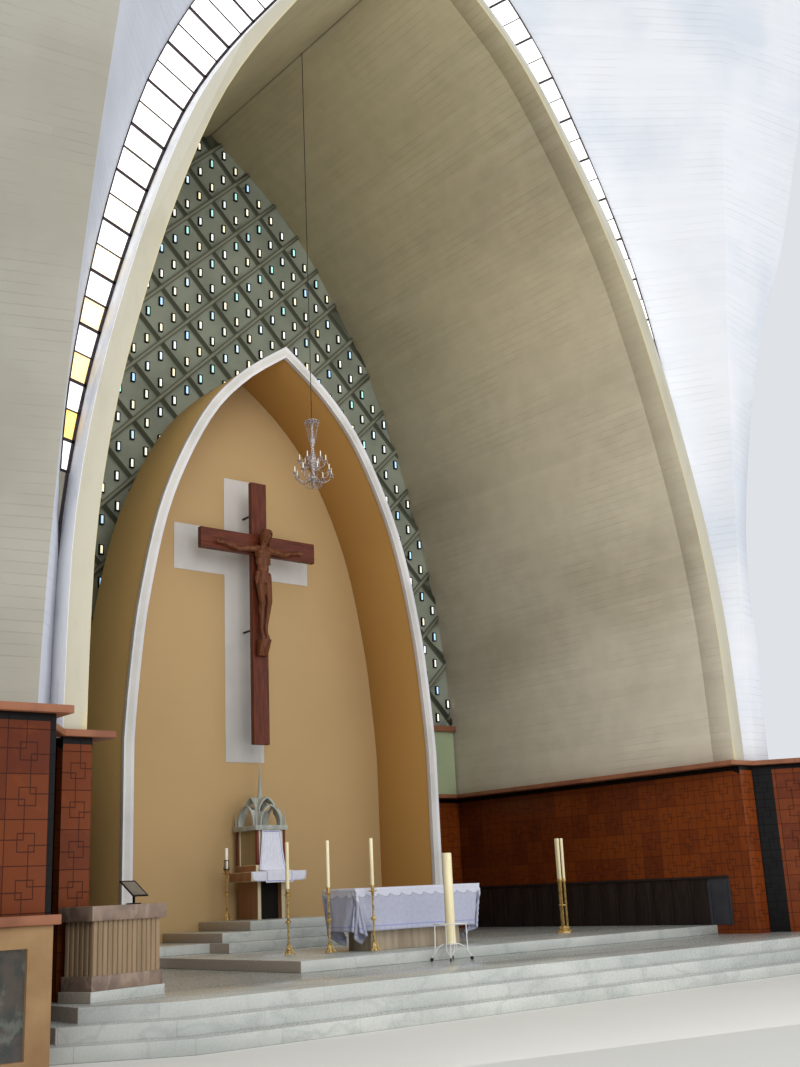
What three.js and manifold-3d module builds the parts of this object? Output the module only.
// Chancel bay of a modern church: a pointed concrete vault with its front arch, glazed slits, corner
// shells, pierced rear screen, niche with crucifix and tabernacle, altar, ambo, candlesticks, hanging
// lamp, platform and steps.
// Millimetres, +Z up, the open front towards -Y. Lengths along Y are first laid out from the front
// face of the arch, and the whole group is then moved so that its box is centred on the origin.
import * as THREE from "three";
import { mergeVertices } from "three/addons/utils/BufferGeometryUtils.js";
import Module from "manifold-3d";

const wasm = await Module();
wasm.setup();

// Clearance between touching pieces
const gap = 0.3;

// Floors, from the nave floor up
const riser = 165;
const tread = 350;
const floorTop = 3 * riser;
const platformTop = 4 * riser;
const nicheFloorTop = 5 * riser;
const lowerStepTop = 6 * riser;
const upperStepTop = 7 * riser;
const floorFront = -1680;
const floorHalf = 7370;
const floorCornerX = 6400;
const floorCornerY = -1150;
const platformFront = 800;
const platformLeft = -3000;

// Side walls, piers and ledges
const wallInner = 6750;
const wallOuter = 7150;
const wallTop = 3600;
const wallFront = -100;
const ledgeThick = 90;
const ledgeReach = 300;
const pierCorner = 8060;
const pierOuter = 9100;
const pierBack = 900;

// Vault: inside half outline from springing to crown, its shell, and the front arch
const vaultOutline = [
  [6780, 3600],
  [6760, 5000],
  [6690, 6500],
  [6450, 8200],
  [6030, 10000],
  [5430, 12000],
  [4640, 14000],
  [3450, 16000],
  [2090, 17750],
  [0, 19320],
];
const vaultThick = 180;
const vaultBack = 8500;
const ribFoot = 330;
const ribHead = 200;
const ribDepth = 500;

// Glazed slit beside the arch: it starts at slitFoot and widens upwards
const slitFoot = 6200;
const glassFront = 400;
const glassThick = 30;

// Folded corner shells: their foot corner, fold direction and crown
const cornerHalf = 7450;
const foldAngle = THREE.MathUtils.degToRad(67.5);
const shellThick = 150;
const shellTop = 22400;
const shellLean = 30;
const shellPower = 1.55;

// Rear walls and screen
const backWallFront = 8000;
const backWallThick = 300;
const greenTop = 5200;
const screenLedgeThick = 130;
const screenFront = 8100;
const screenThick = 90;
const latticeHalf = 665;
const latticeBase = 16190;
const barWidth = 90;
const barDepth = 60;

// Niche: outside half outline above its straight sides, its shell and its depth
const nicheOutline = [
  [3590, 4300],
  [3515, 5300],
  [3320, 6900],
  [2850, 8900],
  [2010, 10700],
  [1110, 11780],
  [0, 12620],
];
const nicheThick = 175;
const nicheFront = 5220;
const nicheBack = 7000;
const nicheWallThick = 120;
const trimDepth = 100;
const trimLip = 12;

// Crucifix
const crossFront = 6240;
const crossThick = 120;
const crossFoot = 4470;
const crossHead = 9930;
const crossWidth = 420;
const crossArmHalf = 1400;
const crossArmBase = 8360;
const crossArmTop = 8790;

// Tabernacle: its stand, shelf, box, crown of arches and spire
const boxHalf = 310;
const boxFront = 6000;
const boxBack = 6700;
const shelfHalf = 630;
const shelfFront = 5720;
const shelfBase = 1850;
const shelfTop = 2020;
const boxTop = 2800;
const capTop = 2890;
const spireTop = 4350;

// Altar
const altarHalf = 1365;
const altarFront = 1600;
const altarBack = 2520;
const altarTop = 1630;
const clothThick = 12;
const clothDrop = 640;

// Ambo, turned towards the middle of the nave
const amboX = -6575;
const amboY = -410;
const amboTurn = THREE.MathUtils.degToRad(17);
const amboTop = 1560;

// Candlesticks and candle stands: places on the floors, radii and heights above the floor
const frontCandlesticks = {
  candlestick_left: [-2107, 2395],
  candlestick_middle: [-1590, 2005],
  candlestick_right: [-1130, 1450],
};
const rearCandlestick = [-885, 6180];
const stickBase = 100;
const stickMetal = 1010;
const stickTop = 1740;
const rearStickMetal = 950;
const rearStickTop = 1330;
const candleRadius = 30;
const tripleStand = [4249, 2442];
const tripleSpread = 60;
const tallCandle = [-410, 450];
const tallCandleRadius = 75;
const tallCandleFoot = 255;
const tallCandleTop = 1615;
const tallRing = 250;

// Hanging lamp: its place under the ridge, its lowest point and the radius of its cable
const lampY = 4290;
const lampFoot = 9280;
const cableRadius = 8;

const finishes = {
  concrete: { color: 0x97907a, roughness: 0.85, metalness: 0 },
  whitePlaster: { color: 0xe4e6e6, roughness: 0.8, metalness: 0 },
  creamPaint: { color: 0xd6d0b8, roughness: 0.7, metalness: 0 },
  ochrePaint: { color: 0xba945d, roughness: 0.85, metalness: 0 },
  trimWhite: { color: 0xe8e6de, roughness: 0.7, metalness: 0 },
  greyPaint: { color: 0xc8c6c8, roughness: 0.8, metalness: 0 },
  greenPaint: { color: 0xa5af87, roughness: 0.85, metalness: 0 },
  screenConcrete: { color: 0x788070, roughness: 0.8, metalness: 0 },
  tile: { color: 0x964623, roughness: 0.4, metalness: 0 },
  redStone: { color: 0x965541, roughness: 0.45, metalness: 0 },
  marble: { color: 0xbebeaa, roughness: 0.25, metalness: 0 },
  paleStone: { color: 0xa89c84, roughness: 0.6, metalness: 0 },
  darkWood: { color: 0x6e3728, roughness: 0.45, metalness: 0 },
  carvedWood: { color: 0x8c5532, roughness: 0.4, metalness: 0 },
  iron: { color: 0x2a2826, roughness: 0.5, metalness: 0.6 },
  cloth: { color: 0xe6e8f0, roughness: 0.9, metalness: 0 },
  glass: { color: 0xf4f2dc, roughness: 0.15, metalness: 0 },
  brass: { color: 0xb08d3c, roughness: 0.3, metalness: 0.9 },
  crystal: { color: 0xcfc9c0, roughness: 0.1, metalness: 0.2 },
};

const bay = new THREE.Group();

// Adds a piece given as a surface or as a solid
function addMesh(name, piece, finish) {
  const geometry = piece.isBufferGeometry ? piece : toGeometry(piece);
  const mesh = new THREE.Mesh(geometry, new THREE.MeshStandardMaterial(finishes[finish]));
  mesh.name = name;
  bay.add(mesh);
  return mesh;
}

// Solids and booleans

function toSolid(geometry) {
  if (!geometry.isBufferGeometry) return geometry;
  const bare = new THREE.BufferGeometry();
  bare.setAttribute("position", geometry.getAttribute("position").clone());
  if (geometry.index) bare.setIndex(geometry.index.clone());
  const merged = mergeVertices(bare, 1e-3);
  return new wasm.Manifold(
    new wasm.Mesh({
      numProp: 3,
      vertProperties: merged.attributes.position.array,
      triVerts: new Uint32Array(merged.index.array),
    }),
  );
}

function toGeometry(solid) {
  const mesh = solid.getMesh();
  const geometry = new THREE.BufferGeometry();
  geometry.setAttribute("position", new THREE.BufferAttribute(mesh.vertProperties, 3));
  geometry.setIndex(new THREE.BufferAttribute(mesh.triVerts, 1));
  geometry.computeVertexNormals();
  return geometry;
}

function join(pieces) {
  return pieces.map(toSolid).reduce((whole, next) => whole.add(next));
}

function cut(piece, tools) {
  return tools.map(toSolid).reduce((rest, tool) => rest.subtract(tool), toSolid(piece));
}

function keep(piece, room) {
  return toSolid(piece).intersect(toSolid(room));
}

// The largest of the separate bodies that a cut leaves
function largest(solid) {
  return solid.decompose().sort((a, b) => b.volume() - a.volume())[0];
}

// A box between two corners
function block(x0, x1, y0, y1, z0, z1) {
  const geometry = new THREE.BoxGeometry(x1 - x0, y1 - y0, z1 - z0);
  return geometry.translate((x0 + x1) / 2, (y0 + y1) / 2, (z0 + z1) / 2);
}

// A plan outline raised from z0 to z1
function raised(points, z0, z1) {
  const shape = new THREE.Shape(points.map(([x, y]) => new THREE.Vector2(x, y)));
  const geometry = new THREE.ExtrudeGeometry(shape, { depth: z1 - z0, bevelEnabled: false });
  return geometry.translate(0, 0, z0);
}

// An upright outline of x and z, run from y0 to y1
function run(points, y0, y1) {
  const shape = new THREE.Shape(points.map(([x, z]) => new THREE.Vector2(x, z)));
  const geometry = new THREE.ExtrudeGeometry(shape, { depth: y1 - y0, bevelEnabled: false });
  return geometry.rotateX(Math.PI / 2).translate(0, y1, 0);
}

// A profile of radius and height turned about the upright axis
function turned(profile, sides) {
  const points = profile.map(([r, z]) => new THREE.Vector2(r, z));
  return new THREE.LatheGeometry(points, sides).rotateX(Math.PI / 2);
}

// A six-sided rod along a smooth line of points
function rod(points, radius, steps) {
  const corners = [0, 1, 2, 3, 4, 5].map((i) => (i * Math.PI) / 3);
  const section = new THREE.Shape(
    corners.map((a) => new THREE.Vector2(radius * Math.cos(a), radius * Math.sin(a))),
  );
  const path = new THREE.CatmullRomCurve3(points.map((p) => new THREE.Vector3(...p)));
  return new THREE.ExtrudeGeometry(section, { steps, bevelEnabled: false, extrudePath: path });
}

// Outlines

const mirrored = (points) => points.map(([x, z]) => [-x, z]);

function smooth(outline, count) {
  const curve = new THREE.SplineCurve(outline.map(([x, z]) => new THREE.Vector2(x, z)));
  return curve.getSpacedPoints(count).map((p) => [p.x, p.y]);
}

// The outline carried on past its top point along its last direction
function overrun(points, length) {
  const [x1, z1] = points[points.length - 1];
  const [x0, z0] = points[points.length - 2];
  const size = Math.hypot(x1 - x0, z1 - z0);
  return [...points, [x1 + ((x1 - x0) / size) * length, z1 + ((z1 - z0) / size) * length]];
}

// How far out an upright outline stands at a given height
function widthAt(points, z) {
  const i = points.findIndex((p) => p[1] > z);
  const [x0, z0] = points[i - 1];
  const [x1, z1] = points[i];
  return x0 + ((z - z0) / (z1 - z0)) * (x1 - x0);
}

// Each point moved outwards by a distance that may depend on its height
function offset(points, distance) {
  return points.map(([x, z], i) => {
    const before = points[Math.max(i - 1, 0)];
    const after = points[Math.min(i + 1, points.length - 1)];
    const size = Math.hypot(after[0] - before[0], after[1] - before[1]);
    const d = typeof distance === "function" ? distance(z) : distance;
    return [x + ((after[1] - before[1]) / size) * d, z - ((after[0] - before[0]) / size) * d];
  });
}

// A half outline closed into the whole arch, with its point on the middle plane
function wholeArch(points) {
  const half = [...points.filter(([x]) => x > 20), [0, heightAt(points, 0)]];
  return [...half, ...mirrored(half).reverse().slice(1)];
}

// Where an outline that leans inwards reaches a given x
function heightAt(points, x) {
  const i = points.findIndex((p) => p[0] < x);
  const [x0, z0] = points[i - 1];
  const [x1, z1] = points[i];
  return z0 + ((x0 - x) / (x0 - x1)) * (z1 - z0);
}

const vaultCurve = overrun(smooth(vaultOutline, 30), 3000);
const ribWidth = (z) => {
  const t = THREE.MathUtils.smoothstep(z, 12000, 18000);
  return ribFoot + (ribHead - ribFoot) * t;
};
const slitWidth = (z) => {
  const u = Math.max(z - slitFoot, 0) / 10000;
  return gap + 880 * u ** 0.8 + 170 * u ** 3.8;
};
const rimWidth = (z) => ribWidth(z) + slitWidth(z);
const ribCurve = offset(vaultCurve, ribWidth);
const rimCurve = offset(vaultCurve, rimWidth);

// One half of a band between two outlines, trimmed at the middle plane
function halfBand(inner, outer, y0, y1, side) {
  const points = [...outer, ...inner.slice().reverse()];
  const band = run(side > 0 ? points : mirrored(points), y0, y1);
  const near = gap / 2;
  const room = block(near, 20000, y0 - 10, y1 + 10, 0, 30000);
  if (side < 0) room.translate(-20000 - near, 0, 0);
  return keep(band, room).translate([0, 0, gap]);
}

function sideName(side) {
  return side > 0 ? "right" : "left";
}

// Floors and steps

function buildFloors() {
  const inner = wallInner - gap;
  const piers = [-1, 1].map((side) => raised(pierPlan(side, gap), -10, wallTop));
  const walls = [-1, 1].map((side) => {
    const [x0, x1] = [side * (wallInner - gap), side * (wallOuter + gap)].sort((a, b) => a - b);
    return block(x0, x1, wallFront - gap, vaultBack, -10, wallTop);
  });
  const floorPlan = [...stepFront(0), [floorHalf, backWallFront - gap], [-floorHalf, backWallFront - gap]];
  const floor = raised(floorPlan, 0, floorTop);
  addMesh("sanctuary_floor", largest(cut(floor, [...piers, ...walls])), "marble");
  for (const [name, count] of [
    ["front_step_upper", 1],
    ["front_step_lower", 2],
  ]) {
    const stepPlan = [...stepFront(count * tread), ...stepFront((count - 1) * tread + gap).reverse()];
    const step = raised(stepPlan, 0, floorTop - count * riser);
    addMesh(name, largest(cut(step, piers)), "marble");
  }
  const nicheInner = nicheOutline[0][0] - nicheThick - trimLip - gap;
  const nicheOuter = nicheOutline[0][0] + trimLip + gap;
  const nicheWallFront = nicheBack - nicheWallThick;
  const mouth = nicheFront - trimDepth - gap;
  addMesh(
    "altar_platform",
    raised(
      [
        [platformLeft, platformFront],
        [inner, platformFront],
        [inner, backWallFront - gap],
        [nicheOuter, backWallFront - gap],
        [nicheOuter, mouth],
        [nicheInner, mouth],
        [nicheInner, nicheWallFront - gap],
        [-nicheInner, nicheWallFront - gap],
        [-nicheInner, mouth],
        [platformLeft, mouth],
      ],
      floorTop + gap,
      platformTop,
    ),
    "marble",
  );
  const landingHalf = 1900;
  const landingFront = 4480;
  addMesh(
    "niche_floor",
    raised(
      [
        [-landingHalf, landingFront],
        [landingHalf, landingFront],
        [landingHalf, mouth],
        [nicheInner, mouth],
        [nicheInner, nicheWallFront - gap],
        [-nicheInner, nicheWallFront - gap],
        [-nicheInner, mouth],
        [-landingHalf, mouth],
      ],
      platformTop + gap,
      nicheFloorTop,
    ),
    "marble",
  );
  const lowerHalf = 1850;
  const upperHalf = 1080;
  const stepBack = nicheWallFront - 16;
  addMesh(
    "niche_step_lower",
    block(-lowerHalf, lowerHalf, landingFront + 300, stepBack, nicheFloorTop + gap, lowerStepTop),
    "marble",
  );
  addMesh(
    "niche_step_upper",
    block(-upperHalf, upperHalf, landingFront + 600, stepBack, lowerStepTop + gap, upperStepTop),
    "marble",
  );
}

// The front outline of the floor or of a step that stands further out, from left to right
function stepFront(out) {
  const half = [
    [floorHalf + out, 0],
    [floorHalf + out, floorCornerY - 0.58 * out],
    [floorCornerX + 0.263 * out, floorFront - out],
  ];
  return [...mirrored(half), ...half.slice().reverse()];
}

// The plan of a corner pier, optionally grown by a clearance
function pierPlan(side, extra = 0) {
  const plan = [
    [wallOuter + gap - extra, pierBack + extra],
    [wallOuter + gap - extra, 50 - extra],
    [pierCorner - extra, -1150 - extra * 1.5],
    [pierCorner - extra, -1900 - extra],
    [pierOuter + extra, -1900 - extra],
    [pierOuter + extra, pierBack + extra],
  ];
  return plan.map(([x, y]) => [side * x, y]);
}

// Side walls with their ledges, and the piers under the corner shells

function buildSides() {
  for (const side of [-1, 1]) {
    const at = sideName(side);
    const flip = (points) => points.map(([x, y]) => [side * x, y]);
    addMesh(
      `side_wall_${at}`,
      raised(
        flip([
          [wallInner, wallFront],
          [wallOuter, wallFront],
          [wallOuter, vaultBack],
          [wallInner, vaultBack],
        ]),
        0,
        wallTop,
      ),
      "tile",
    );
    addMesh(
      `side_ledge_${at}`,
      raised(
        flip([
          [wallInner - ledgeReach, wallFront - 60],
          [wallOuter, wallFront - 60],
          [wallOuter, -gap],
          [vaultOutline[0][0] - 25, -gap],
          [vaultOutline[0][0] - 25, backWallFront - gap],
          [wallInner - ledgeReach, backWallFront - gap],
        ]),
        wallTop + gap,
        wallTop + ledgeThick,
      ),
      "redStone",
    );
    addMesh(`corner_pier_${at}`, raised(pierPlan(side), 0, wallTop), "tile");
    addMesh(
      `pier_ledge_${at}`,
      raised(
        flip([
          [wallOuter + gap, -10],
          [wallOuter + gap, wallFront - 60],
          [7890, -1200],
          [7890, -1980],
          [pierOuter, -1980],
          [pierOuter, cornerHalf - pierOuter - 12],
          [cornerHalf + 2, -10],
        ]),
        wallTop + gap,
        wallTop + ledgeThick,
      ),
      "redStone",
    );
  }
}

// Vault halves, front arch halves and the glass of the slits

function buildVault() {
  for (const side of [-1, 1]) {
    const at = sideName(side);
    const outside = offset(vaultCurve, vaultThick);
    const shell = halfBand(vaultCurve, outside, ribDepth + gap, vaultBack, side);
    addMesh(`vault_${at}`, shell, "concrete");
    const rib = halfBand(vaultCurve, ribCurve, 0, ribDepth, side);
    addMesh(`front_arch_${at}`, rib, "creamPaint");
    const start = vaultCurve.findIndex(([, z]) => z > slitFoot + 400);
    const glass = halfBand(
      offset(vaultCurve, (z) => ribWidth(z) + 2 * gap).slice(start),
      offset(vaultCurve, (z) => rimWidth(z) - 3 * gap).slice(start),
      glassFront,
      glassFront + glassThick,
      side,
    );
    addMesh(`slit_glass_${at}`, glass, "glass");
  }
}

// Corner shells: at each height a folded strip from the rim of the slit, over the fold, to its far edge

function shellSection([rimX, z], side) {
  const fold = new THREE.Vector2(-Math.cos(foldAngle), -Math.sin(foldAngle));
  const acrossFold = (v) => fold.clone().multiplyScalar(2 * v.dot(fold)).sub(v);
  const lean = shellLean * (Math.max(z - wallTop, 0) / 1000) ** shellPower;
  const corner = new THREE.Vector2(cornerHalf, 0);
  const foldPoint = corner.clone().addScaledVector(fold, lean);
  const rim = new THREE.Vector2(rimX, glassFront);
  const awayFromRim = new THREE.Vector2(0, 1);
  const awayBeyond = acrossFold(awayFromRim);
  const along = acrossFold(rim.clone().sub(foldPoint));
  const reachToSide = (pierOuter - foldPoint.x) / along.clone().normalize().x;
  const farLength = side > 0 ? Math.min(along.length(), reachToSide) : reachToSide;
  const far = foldPoint.clone().addScaledVector(along.normalize(), farLength);
  const outerFold = foldPoint.clone().addScaledVector(fold, -shellThick / Math.sin(foldAngle));
  return [
    rim,
    foldPoint,
    far,
    far.clone().addScaledVector(awayBeyond, shellThick),
    outerFold,
    rim.clone().addScaledVector(awayFromRim, shellThick),
  ].map((p) => [side * p.x, p.y, z]);
}

// A closed skin over a stack of sections with equal numbers of points
function loft(sections) {
  const count = sections[0].length;
  const positions = sections.flat(2);
  const index = [];
  for (let s = 0; s + 1 < sections.length; s += 1) {
    for (let i = 0; i < count; i += 1) {
      const a = s * count + i;
      const b = s * count + ((i + 1) % count);
      index.push(a, b, b + count, a, b + count, a + count);
    }
  }
  const flat = sections[0].map(([x, y]) => new THREE.Vector2(x, y));
  const clockwise = THREE.ShapeUtils.isClockWise(flat);
  const last = (sections.length - 1) * count;
  for (const [a, b, c] of THREE.ShapeUtils.triangulateShape(flat, [])) {
    index.push(c, b, a);
  }
  const top = sections[sections.length - 1].map(([x, y]) => new THREE.Vector2(x, y));
  for (const [a, b, c] of THREE.ShapeUtils.triangulateShape(top, [])) {
    index.push(a + last, b + last, c + last);
  }
  if (clockwise) {
    const sides = (sections.length - 1) * count * 6;
    for (let i = 0; i < sides; i += 3) [index[i], index[i + 1]] = [index[i + 1], index[i]];
  }
  const geometry = new THREE.BufferGeometry();
  geometry.setAttribute("position", new THREE.Float32BufferAttribute(positions, 3));
  geometry.setIndex(index);
  geometry.computeVertexNormals();
  return geometry;
}

function buildShells() {
  const middle = gap / 2;
  const crown = heightAt(rimCurve, middle);
  const rims = [
    [rimCurve[0][0], wallTop + gap],
    ...rimCurve.filter(([x, z]) => x > middle + 100 && z > wallTop + 100 && z < crown - 50),
    [middle, crown + gap],
    [middle, shellTop],
  ];
  for (const side of [-1, 1]) {
    const sections = rims.map((rim) => shellSection(rim, side));
    addMesh(`corner_shell_${sideName(side)}`, loft(sections), "whitePlaster");
  }
}

// Rear dado, green wall above it, the ledge under the screen, and the pierced screen

function buildRear() {
  const nicheEdge = nicheOutline[0][0] + gap;
  const inner = wallInner - gap;
  for (const side of [-1, 1]) {
    const at = sideName(side);
    const span = (x0, x1) => (side > 0 ? [x0, x1] : [-x1, -x0]);
    const front = backWallFront;
    const back = backWallFront + backWallThick;
    addMesh(`rear_dado_${at}`, block(...span(gap / 2, inner), front, back, 0, wallTop), "tile");
    const ledgeSpan = span(nicheEdge, wallInner - ledgeReach - gap);
    addMesh(
      `rear_ledge_${at}`,
      block(...ledgeSpan, front - ledgeReach, front - gap, wallTop + gap, wallTop + ledgeThick),
      "redStone",
    );
    addMesh(
      `green_wall_${at}`,
      block(...span(gap / 2, 6720), front, back, wallTop + gap, greenTop),
      "greenPaint",
    );
    addMesh(
      `screen_ledge_${at}`,
      block(...span(gap / 2, 6700), front - 120, back, greenTop + gap, greenTop + screenLedgeThick),
      "redStone",
    );
  }
  const base = greenTop + screenLedgeThick + gap;
  const edge = offset(vaultCurve, -gap * 2);
  const arch = wholeArch([[widthAt(edge, base), base], ...edge.filter(([, z]) => z > base + 1)]);
  const plate = run(arch, screenFront, screenFront + screenThick);
  const face = run(arch, screenFront - barDepth, screenFront + 1);
  const bars = [];
  for (let i = -12; i <= 12; i += 1) {
    for (const turn of [-1, 1]) {
      const bar = new THREE.BoxGeometry(barWidth, barDepth + 1, 50000);
      bar.translate(0, screenFront - barDepth / 2 + 0.5, 0);
      bar.rotateY((turn * Math.PI) / 4);
      bars.push(bar.translate(2 * i * latticeHalf, 0, latticeBase));
    }
  }
  const lattice = keep(join(bars), face);
  addMesh("lattice_screen", join([plate, lattice]), "screenConcrete");
}

// Niche: hood in two halves, white trim round its mouth, and its rear wall with the painted cross

function nicheBand(inside, outside, y0, y1) {
  const foot = floorTop + gap;
  const outer = overrun(smooth(nicheOutline, 24), 900);
  const column = (points) => [[points[0][0], foot], ...points];
  const skin = column(offset(outer, outside));
  const hollow = column(offset(outer, inside));
  return { skin: run(wholeArch(skin), y0, y1), hollow: run(wholeArch(hollow), y0 - 50, y1 + 50) };
}

function buildNiche() {
  const foot = floorTop + gap;
  const below = block(-9000, 9000, 4000, 9000, 0, foot + gap);
  const hood = nicheBand(-nicheThick, 0, nicheFront, nicheBack);
  const shell = cut(hood.skin, [hood.hollow, below]);
  for (const side of [-1, 1]) {
    const room = block(gap / 2, 9000, 4000, 9000, 0, 20000);
    if (side < 0) room.translate(-9000 - gap / 2, 0, 0);
    addMesh(`niche_hood_${sideName(side)}`, keep(shell, room), "ochrePaint");
  }
  const trim = nicheBand(-nicheThick - trimLip, trimLip, nicheFront - trimDepth, nicheFront - gap);
  addMesh("niche_trim", cut(trim.skin, [trim.hollow, below]), "trimWhite");
  const wallFrontFace = nicheBack - nicheWallThick;
  const wall = nicheBand(0, -nicheThick - gap * 2, wallFrontFace, nicheBack);
  addMesh("niche_rear_wall", wall.skin, "ochrePaint");
  const painted = [
    [-460, 4180],
    [460, 4180],
    [460, 8030],
    [1650, 8030],
    [1650, 9000],
    [460, 9000],
    [460, 10150],
    [-460, 10150],
    [-460, 9000],
    [-1650, 9000],
    [-1650, 8030],
    [-460, 8030],
  ];
  addMesh("painted_cross", run(painted, wallFrontFace - gap - 10, wallFrontFace - gap), "greyPaint");
}

// Crucifix: upright with its wall brackets, the cross arm let into it, and the figure

function buildCrucifix() {
  const front = crossFront;
  const back = crossFront + crossThick;
  const half = crossWidth / 2;
  const wallFace = nicheBack - nicheWallThick - gap * 2 - 10;
  const upright = join([
    block(-half, half, front, back, crossFoot, crossHead),
    block(-60, 60, back - 10, wallFace, 9240, 9340),
    block(-60, 60, back - 10, wallFace, 6790, 6890),
  ]);
  const middle = (front + back) / 2;
  const notch = block(-half - 5, half + 5, front - 5, middle, crossArmBase - gap, crossArmTop + gap);
  addMesh("cross_upright", cut(upright, [notch]), "darkWood");
  const arm = block(-crossArmHalf, crossArmHalf, front, back, crossArmBase, crossArmTop);
  const reach = half + gap;
  const housing = block(-reach, reach, middle - gap, back + 5, crossArmBase - 5, crossArmTop + 5);
  addMesh("cross_arm", cut(arm, [housing]), "darkWood");
  addMesh("crucifix_figure", figure(front - gap), "carvedWood");
}

// A rounded limb between two points
function limb(from, to, r0, r1) {
  const a = new THREE.Vector3(...from);
  const b = new THREE.Vector3(...to);
  const length = a.distanceTo(b);
  const profile = [
    [0, -r0 * 0.9],
    [r0 * 0.7, -r0 * 0.6],
    [r0, 0],
    [r1, length],
    [r1 * 0.7, length + r1 * 0.6],
    [0, length + r1 * 0.9],
  ];
  const upwards = new THREE.Vector3(0, 0, 1);
  const turn = new THREE.Quaternion().setFromUnitVectors(upwards, b.clone().sub(a).normalize());
  return turned(profile, 10).applyQuaternion(turn).translate(...from);
}

function oval(centre, sizes) {
  return new THREE.SphereGeometry(1, 12, 8).scale(...sizes).translate(...centre);
}

// The figure hangs in front of the face of the cross, its feet on a wedge block
function figure(face) {
  const y = (depth) => face - depth;
  const limbs = [
    oval([15, y(190), 8760], [95, 115, 135]),
    limb([5, y(130), 8500], [12, y(170), 8680], 62, 58),
    oval([0, y(130), 8330], [205, 120, 230]),
    oval([0, y(125), 8040], [150, 105, 210]),
    oval([0, y(125), 7860], [175, 130, 170]),
    limb([80, y(130), 7800], [65, y(200), 7300], 105, 72),
    limb([-80, y(130), 7800], [-55, y(190), 7300], 105, 72),
    limb([65, y(200), 7300], [30, y(110), 6800], 75, 45),
    limb([-55, y(190), 7300], [-20, y(105), 6800], 75, 45),
    limb([30, y(110), 6790], [10, y(170), 6600], 42, 34),
    limb([-20, y(105), 6790], [-5, y(150), 6600], 42, 34),
  ];
  for (const side of [-1, 1]) {
    limbs.push(limb([side * 170, y(120), 8440], [side * 560, y(85), 8440], 66, 48));
    limbs.push(limb([side * 560, y(85), 8440], [side * 920, y(60), 8520], 48, 34));
    limbs.push(oval([side * 985, y(46), 8530], [80, 30, 42]));
  }
  const wedge = run([[-80, 6320], [80, 6320], [80, 6590], [-80, 6590]], y(130), y(0));
  const body = [...limbs, wedge];
  return keep(join(body), block(-2000, 2000, 5000, face, 6000, 9500));
}

// Tabernacle

// A pointed tunnel: half width, height of its straight sides and of its point, run along X or Y
function pointedTunnel(half, spring, top, length, along, base) {
  const shape = new THREE.Shape();
  const rise = top - spring;
  const radius = (half * half + rise * rise) / (2 * half);
  shape.moveTo(half, 0);
  shape.lineTo(half, spring);
  const sweep = Math.asin(Math.min(rise / radius, 1));
  shape.absarc(half - radius, spring, radius, 0, sweep, false);
  shape.absarc(radius - half, spring, radius, Math.PI - sweep, Math.PI, false);
  shape.lineTo(-half, 0);
  shape.closePath();
  const cast = { depth: length, bevelEnabled: false, curveSegments: 8 };
  const geometry = new THREE.ExtrudeGeometry(shape, cast);
  geometry.translate(0, 0, -length / 2).rotateX(Math.PI / 2);
  if (along === "x") geometry.rotateZ(Math.PI / 2);
  return geometry.translate(0, (boxFront + boxBack) / 2, base);
}

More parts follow.
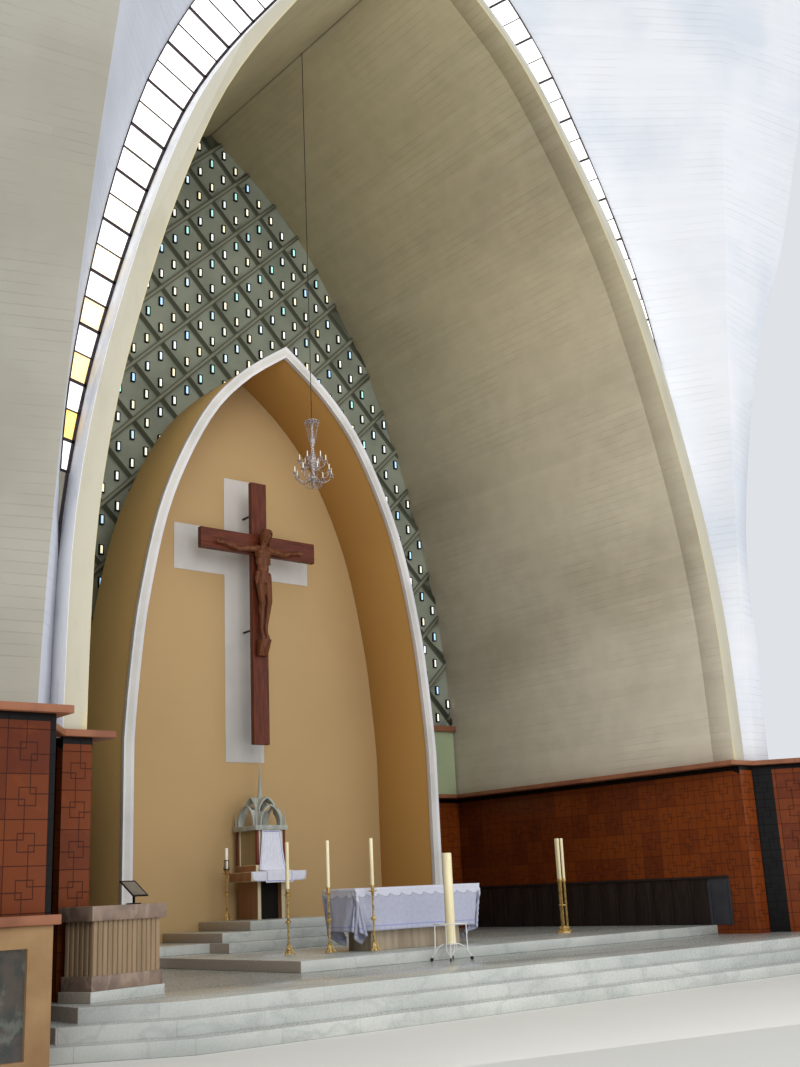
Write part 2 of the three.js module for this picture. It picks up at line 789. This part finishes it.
function buildTabernacle() {
  const foot = upperStepTop + gap;
  const stand = cut(
    join([
      block(-boxHalf, boxHalf, boxFront, boxBack, foot, shelfBase + 10),
      block(-shelfHalf, shelfHalf, shelfFront, 6500, shelfBase, shelfTop),
      block(-boxHalf - 50, boxHalf + 50, boxFront - 30, boxBack, shelfTop - 10, shelfTop + 130),
    ]),
    [block(-boxHalf + 75, boxHalf - 75, boxFront - 50, boxBack - 60, foot - 5, shelfBase)],
  );
  addMesh("tabernacle_stand", stand, "paleStone");
  const boxBase = shelfTop + 130 + gap;
  const box = cut(block(-boxHalf, boxHalf, boxFront, boxBack, boxBase, boxTop), [
    block(-boxHalf - 5, -boxHalf + 15, boxFront + 90, boxBack - 90, boxBase - 5, boxTop + 5),
    block(boxHalf - 15, boxHalf + 5, boxFront + 90, boxBack - 90, boxBase - 5, boxTop + 5),
    block(-boxHalf + 70, boxHalf - 70, boxFront - 5, boxFront + 25, boxBase - 5, boxTop + 5),
  ]);
  addMesh("tabernacle_box", box, "paleStone");
  const crownBase = capTop - 5;
  const y = (boxFront + boxBack) / 2;
  const outer = [
    pointedTunnel(245, 60, 405, 760, "y", crownBase),
    pointedTunnel(275, 60, 405, 700, "x", crownBase),
    pointedTunnel(205, 250, 560, 520, "y", crownBase),
    pointedTunnel(205, 250, 560, 480, "x", crownBase),
  ];
  const hollows = [
    pointedTunnel(215, 50, 370, 900, "y", crownBase + 5),
    pointedTunnel(245, 50, 370, 900, "x", crownBase + 5),
    pointedTunnel(178, 240, 525, 620, "y", crownBase + 5),
    pointedTunnel(178, 240, 525, 600, "x", crownBase + 5),
  ];
  const cap = block(-boxHalf - 60, boxHalf + 60, boxFront - 50, boxBack + 50, boxTop + gap, capTop);
  const vaults = join([cap, cut(join(outer), hollows)]);
  const spireFoot = capTop + 470;
  const spireHeight = spireTop - spireFoot;
  const spire = turned([[0, 0], [58, 0], [30, 330], [14, 620], [5, spireHeight], [0, spireHeight]], 12);
  spire.translate(0, y, spireFoot);
  const pinnacles = [];
  for (const sx of [-1, 1]) {
    for (const sy of [-1, 1]) {
      const cone = new THREE.ConeGeometry(22, 330, 8).rotateX(Math.PI / 2);
      pinnacles.push(cone.translate(sx * (boxHalf + 20), y + sy * 360, capTop + 160));
    }
  }
  addMesh("tabernacle_crown", join([vaults, spire, ...pinnacles]), "paleStone");
  const veilFront = shelfFront - 2;
  const veil = [
    [veilFront - clothThick, shelfBase - 40],
    [veilFront, shelfBase - 40],
    [veilFront, shelfTop + gap],
    [boxFront - 70, shelfTop + gap],
    [boxFront - 34, shelfTop + 136],
    [boxFront - 8, boxTop - 8],
    [boxFront - 8 - clothThick, boxTop - 8],
    [boxFront - 34 - clothThick, shelfTop + 136],
    [boxFront - 70 - clothThick, shelfTop + gap + clothThick],
    [veilFront - clothThick, shelfTop + gap + clothThick],
  ];
  const shape = new THREE.Shape(veil.map(([yy, z]) => new THREE.Vector2(yy, z)));
  const sheet = new THREE.ExtrudeGeometry(shape, { depth: 470, bevelEnabled: false });
  sheet.applyMatrix4(new THREE.Matrix4().makeBasis(
    new THREE.Vector3(0, 1, 0),
    new THREE.Vector3(0, 0, 1),
    new THREE.Vector3(1, 0, 0),
  ));
  addMesh("tabernacle_veil", sheet.translate(-235, 0, 0), "cloth");
}

// Altar with its cloth

function buildAltar() {
  const y = (altarFront + altarBack) / 2;
  const top = altarTop - clothThick - gap;
  const base = join([
    block(-950, 950, y - 300, y + 300, platformTop + gap, top - 90),
    block(-altarHalf + 30, altarHalf - 30, altarFront + 30, altarBack - 30, top - 100, top),
  ]);
  addMesh("altar_table", base, "paleStone");
  const clothFoot = altarTop - clothDrop;
  const cloth = cut(block(-altarHalf, altarHalf, altarFront, altarBack, clothFoot, altarTop), [
    block(
      -altarHalf + clothThick,
      altarHalf - clothThick,
      altarFront + clothThick,
      altarBack - clothThick,
      clothFoot - 5,
      altarTop - clothThick,
    ),
  ]);
  addMesh("altar_cloth", cloth, "cloth");
}

// Ambo

function buildAmbo() {
  const place = (piece) => piece.rotateZ(amboTurn).translate(amboX, amboY, 0);
  const foot = floorTop + gap;
  const body = join([
    place(block(-600, 600, -270, 270, foot, foot + 125)),
    place(block(-575, 575, -255, 255, foot + 100, foot + 290)),
    place(block(-550, 550, -240, 240, foot + 270, amboTop - 170 - gap)),
  ]);
  addMesh("ambo_body", body, "paleStone");
  addMesh("ambo_top", place(block(-610, 610, -285, 285, amboTop - 170, amboTop)), "marble");
  const deskX = 330;
  const desk = new THREE.BoxGeometry(260, 300, 16).rotateX(THREE.MathUtils.degToRad(38));
  const holder = join([
    place(block(deskX - 70, deskX + 70, -60, 60, amboTop + gap, amboTop + 14)),
    place(block(deskX - 12, deskX + 12, -12, 12, amboTop + 5, amboTop + 180)),
    place(desk.translate(deskX, 0, amboTop + 185)),
  ]);
  addMesh("book_stand", holder, "iron");
}

// Candlesticks, each turned in one with its candle

function stick(base, metal, top) {
  const middle = metal / 2;
  return turned(
    [
      [0, 0],
      [base, 0],
      [base - 8, 30],
      [40, 90],
      [22, 130],
      [34, 150],
      [20, 170],
      [20, middle - 25],
      [48, middle],
      [20, middle + 25],
      [20, metal - 140],
      [34, metal - 120],
      [70, metal - 96],
      [70, metal - 86],
      [32, metal - 80],
      [32, metal],
      [candleRadius, metal + 2],
      [candleRadius, top],
      [0, top],
    ],
    10,
  );
}

function buildCandlesticks() {
  for (const [name, [x, y]] of Object.entries(frontCandlesticks)) {
    const piece = stick(stickBase, stickMetal, stickTop);
    addMesh(name, piece.translate(x, y, platformTop + gap), "brass");
  }
  const [x, y] = rearCandlestick;
  const rear = stick(stickBase - 15, rearStickMetal, rearStickTop);
  addMesh("rear_candlestick", rear.translate(x, y, upperStepTop + gap), "brass");
}

// Three shafts on one foot, each with its candle
function buildTripleStand() {
  const foot = turned([[0, 0], [145, 0], [138, 30], [95, 70], [90, 130], [0, 130]], 12);
  const collar = turned([[0, 490], [80, 490], [80, 510], [0, 510]], 12);
  const shafts = [0, 1, 2].map((i) => {
    const a = Math.PI / 2 + (i * 2 * Math.PI) / 3;
    const shaft = turned(
      [
        [0, 120],
        [26, 120],
        [26, 920],
        [36, 940],
        [36, 980],
        [candleRadius, 982],
        [candleRadius, 1735],
        [0, 1735],
      ],
      10,
    );
    return shaft.translate(tripleSpread * Math.cos(a), tripleSpread * Math.sin(a), 0);
  });
  const [x, y] = tripleStand;
  const whole = join([foot, collar, ...shafts]).translate([x, y, platformTop + gap]);
  addMesh("triple_candle_stand", whole, "brass");
}

// A thick candle on a plate, held in a ring on four legs with castors
function buildTallCandle() {
  const wheel = 28;
  const plate = tallCandleRadius + 20;
  const candle = turned(
    [
      [0, tallCandleFoot - 20],
      [plate, tallCandleFoot - 20],
      [plate, tallCandleFoot],
      [tallCandleRadius, tallCandleFoot],
      [tallCandleRadius, tallCandleTop],
      [0, tallCandleTop],
    ],
    12,
  );
  const ring = new THREE.TorusGeometry(tallRing, 8, 6, 16).translate(0, 0, 545);
  const pieces = [candle, ring];
  for (let i = 0; i < 4; i += 1) {
    const a = Math.PI / 4 + (i * Math.PI) / 2;
    const legLine = [[tallRing, 0, 545], [tallRing, 0, 240], [tallRing + 50, 0, 90], [tallRing + 60, 0, 40]];
    const leg = rod(legLine, 9, 4);
    const spoke = rod([[60, 0, tallCandleFoot - 10], [tallRing / 2, 0, 230], [tallRing, 0, 235]], 8, 3);
    const castor = new THREE.CylinderGeometry(wheel, wheel, 22, 10).translate(tallRing + 60, 0, wheel);
    for (const piece of [leg, spoke, castor]) pieces.push(piece.rotateZ(a));
  }
  const [x, y] = tallCandle;
  addMesh("tall_candle_stand", join(pieces).translate([x, y, floorTop + gap]), "brass");
}

// Hanging lamp: a turned stem with two rings of arms, on a cable from the ridge

function lampArms(count, reach, arch, cup, sleeve) {
  const arms = [];
  for (let i = 0; i < count; i += 1) {
    const a = (i * 2 * Math.PI) / count;
    const arm = rod(arch.map(([r, z]) => [r, 0, z]), 12, 4);
    const cupLine = [[0, cup - 14], [48, cup], [46, cup + 12], [14, cup + 20], [12, sleeve], [0, sleeve]];
    const holder = turned(cupLine, 6);
    arms.push(arm.rotateZ(a), holder.translate(reach, 0, 0).rotateZ(a));
  }
  return arms;
}

function buildLamp() {
  const cableTop = heightAt(vaultCurve, cableRadius) - lampFoot;
  const stem = turned(
    [
      [0, 0],
      [30, 50],
      [18, 90],
      [95, 180],
      [95, 215],
      [40, 260],
      [34, 330],
      [90, 520],
      [70, 640],
      [34, 760],
      [60, 1000],
      [30, 1200],
      [26, 1340],
      [150, 1400],
      [150, 1412],
      [24, 1440],
      [cableRadius, 1470],
      [cableRadius, cableTop],
      [0, cableTop],
    ],
    10,
  );
  const lower = lampArms(8, 370, [[60, 200], [180, 120], [320, 190], [370, 300]], 300, 440);
  const upper = lampArms(6, 260, [[40, 480], [140, 430], [230, 490], [260, 570]], 570, 710);
  addMesh("chandelier", join([stem, ...lower, ...upper]).translate([0, lampY, lampFoot]), "crystal");
}

// Low plinth of each pier, with sunk marble panels and a ledge

function buildPierBases() {
  for (const side of [-1, 1]) {
    const at = sideName(side);
    const span = (x0, x1) => (side > 0 ? [x0, x1] : [-x1, -x0]);
    const front = -2130;
    const body = cut(block(...span(8130, pierOuter), front, -1900 - gap, 0, 1400), [
      block(...span(8400, 8960), front - 5, front + 45, 120, 1180),
    ]);
    addMesh(`pier_plinth_${at}`, body, "paleStone");
    addMesh(
      `plinth_ledge_${at}`,
      block(...span(8070, pierOuter), front - 60, -1900 - gap, 1400 + gap, 1500),
      "redStone",
    );
  }
}

buildFloors();
buildSides();
buildPierBases();
buildVault();
buildShells();
buildRear();
buildNiche();
buildCrucifix();
buildTabernacle();
buildAltar();
buildAmbo();
buildCandlesticks();
buildTripleStand();
buildTallCandle();
buildLamp();

// Bring the middle of the whole bay over the origin
const box = new THREE.Box3().setFromObject(bay);
const middleX = (box.min.x + box.max.x) / 2;
const middleY = (box.min.y + box.max.y) / 2;
for (const mesh of bay.children) {
  mesh.geometry.translate(-middleX, -middleY, 0);
}

export default bay;
